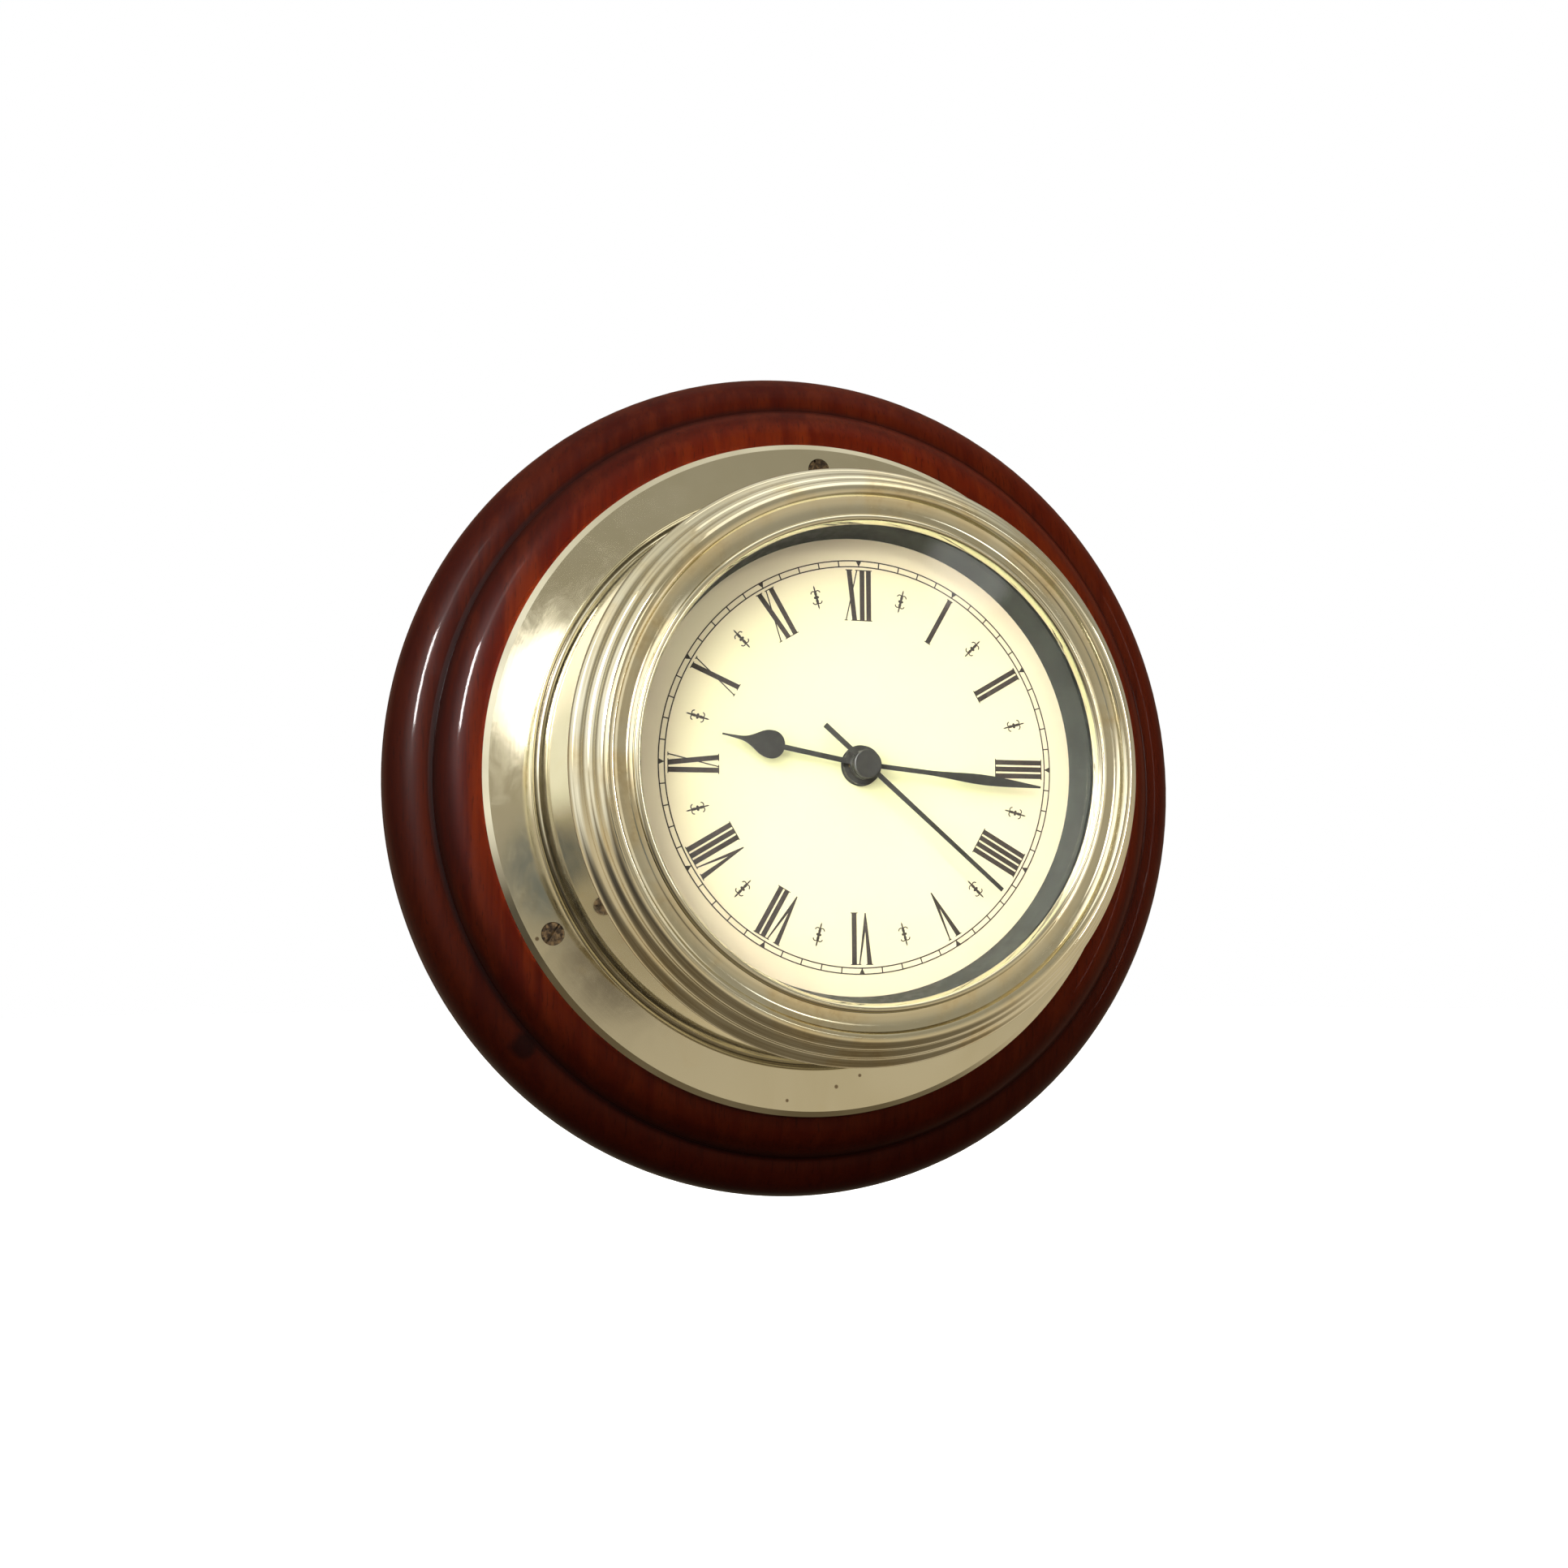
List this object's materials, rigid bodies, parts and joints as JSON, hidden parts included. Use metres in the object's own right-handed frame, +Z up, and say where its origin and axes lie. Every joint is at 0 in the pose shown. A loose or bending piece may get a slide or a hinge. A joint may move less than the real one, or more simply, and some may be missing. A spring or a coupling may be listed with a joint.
{
  "type": "deck clock",
  "caption": "Round brass bulkhead clock on a turned wooden plinth, with a cream Roman dial, three black hands and a geared quartz movement behind it",
  "frame": {"origin": "centre of the plinth's flat back, on the wall", "axes": "+Y into the wall, -Y the way the dial faces, +Z up with 12 at the top, +X towards 3 o'clock as seen from the front"},
  "size_m": [0.2264, 0.0722, 0.2264],
  "materials": {
    "plinth": "turned mahogany, glossy varnish",
    "hanger_plate": "dull stamped brass",
    "hanger_screws": "plated",
    "case_body": "polished and lacquered, pale",
    "flange_screws": "dark antique",
    "reveal_ring": "matt dark grey",
    "dial": "cream enamel",
    "dial_carrier": "pressed",
    "dial_screws": "plated",
    "minute_track": "printed dark brown ink",
    "numerals": "printed dark brown ink",
    "half_hour_marks": "printed dark brown ink",
    "hub_washer": "matt black",
    "hub_nut": "matt black",
    "rubber_washer": "black",
    "bush": "turned",
    "front_case": "black moulding",
    "rear_case": "black moulding",
    "case_screws": "plated",
    "middle_plate": "white moulding",
    "train_bridge": "white moulding",
    "stator": "soft iron strip",
    "coil_core": "soft iron strip",
    "bobbin": "red moulding",
    "coil": "enamelled copper winding",
    "circuit_board": "green laminate",
    "chip": "black resin",
    "crystal": "drawn can",
    "positive_contact": "bright steel",
    "negative_contact": "bright steel",
    "bezel": "polished and lacquered, pale",
    "sight_ring": "polished",
    "glass": "clear",
    "glass_gasket": "black",
    "glass_retainer": "spring steel",
    "battery_can": "nickel plated",
    "battery_sleeve": "plain blue sleeve",
    "rotor_pinion": "white moulding",
    "rotor_magnet": "sintered magnet",
    "intermediate_wheel": "white moulding",
    "seconds_arbor": "bright steel",
    "seconds_wheel": "white moulding",
    "second_hand": "matt black",
    "third_wheel": "white moulding",
    "cannon_pinion": "turned",
    "centre_wheel": "white moulding",
    "minute_hand": "matt black",
    "minute_wheel": "white moulding",
    "hour_wheel": "white moulding",
    "hour_hand": "matt black",
    "setting_knob": "black moulding"
  },
  "bodies": {
    "clock_body": {"plinth": "plinth", "hanger_plate": "hanger_plate", "hanger_screws": "hanger_screws", "case_body": "case_body", "flange_screws": "flange_screws", "reveal_ring": "reveal_ring", "dial": "dial", "dial_carrier": "dial_carrier", "dial_screws": "dial_screws", "minute_track": "minute_track", "numerals": "numerals", "half_hour_marks": "half_hour_marks", "hub_washer": "hub_washer", "hub_nut": "hub_nut", "rubber_washer": "rubber_washer", "bush": "bush", "front_case": "front_case", "rear_case": "rear_case", "case_screws": "case_screws", "middle_plate": "middle_plate", "train_bridge": "train_bridge", "stator": "stator", "coil_core": "coil_core", "bobbin": "bobbin", "coil": "coil", "circuit_board": "circuit_board", "chip": "chip", "crystal": "crystal", "positive_contact": "positive_contact", "negative_contact": "negative_contact"},
    "bezel_body": {"bezel": "bezel", "sight_ring": "sight_ring", "glass": "glass", "glass_gasket": "glass_gasket", "glass_retainer": "glass_retainer"},
    "battery": {"battery_can": "battery_can", "battery_sleeve": "battery_sleeve"},
    "rotor": {"rotor_pinion": "rotor_pinion", "rotor_magnet": "rotor_magnet"},
    "intermediate": {"intermediate_wheel": "intermediate_wheel"},
    "seconds": {"seconds_arbor": "seconds_arbor", "seconds_wheel": "seconds_wheel", "second_hand": "second_hand"},
    "third": {"third_wheel": "third_wheel"},
    "centre": {"cannon_pinion": "cannon_pinion", "centre_wheel": "centre_wheel", "minute_hand": "minute_hand"},
    "minute_work": {"minute_wheel": "minute_wheel"},
    "hour": {"hour_wheel": "hour_wheel", "hour_hand": "hour_hand"},
    "setting": {"setting_knob": "setting_knob"}
  },
  "joints": [
    {"name": "seconds_turn", "type": "hinge", "parent": "clock_body", "child": "seconds", "pos_m": [0, -0.0495, 0], "axis": [0, 1, 0], "continuous": true},
    {"name": "rotor_turn", "type": "hinge", "parent": "clock_body", "child": "rotor", "pos_m": [-0.01164, -0.0485, 0.00115], "axis": [0, 1, 0], "continuous": true},
    {"name": "intermediate_turn", "type": "hinge", "parent": "clock_body", "child": "intermediate", "pos_m": [-0.00572, -0.0475, 0.0033], "axis": [0, 1, 0], "continuous": true},
    {"name": "third_turn", "type": "hinge", "parent": "clock_body", "child": "third", "pos_m": [0.009, -0.0505, 0], "axis": [0, 1, 0], "continuous": true},
    {"name": "minute_turn", "type": "hinge", "parent": "clock_body", "child": "centre", "pos_m": [0, -0.0525, 0], "axis": [0, 1, 0], "continuous": true},
    {"name": "minute_wheel_turn", "type": "hinge", "parent": "clock_body", "child": "minute_work", "pos_m": [-0.00175, -0.0535, 0.00993], "axis": [0, 1, 0], "continuous": true},
    {"name": "hour_turn", "type": "hinge", "parent": "clock_body", "child": "hour", "pos_m": [0, -0.0545, 0], "axis": [0, 1, 0], "continuous": true},
    {"name": "setting_knob_turn", "type": "hinge", "parent": "clock_body", "child": "setting", "pos_m": [0.00538, -0.0395, 0.01705], "axis": [0, 1, 0], "continuous": true},
    {"name": "battery_slide", "type": "slide", "parent": "clock_body", "child": "battery", "axis": [0, 1, 0], "range_m": [0, 0.055]},
    {"name": "bezel_slide", "type": "slide", "parent": "clock_body", "child": "bezel_body", "axis": [0, -1, 0], "range_m": [0, 0.03]}
  ],
  "couplings": [
    {"joint": "rotor_turn", "follows": "seconds_turn", "ratio": 30},
    {"joint": "intermediate_turn", "follows": "seconds_turn", "ratio": -5},
    {"joint": "third_turn", "follows": "seconds_turn", "ratio": -0.13333},
    {"joint": "minute_turn", "follows": "seconds_turn", "ratio": 0.016667},
    {"joint": "minute_wheel_turn", "follows": "seconds_turn", "ratio": -0.0055556},
    {"joint": "hour_turn", "follows": "seconds_turn", "ratio": 0.0013889},
    {"joint": "setting_knob_turn", "follows": "seconds_turn", "ratio": 0.016667}
  ]
}
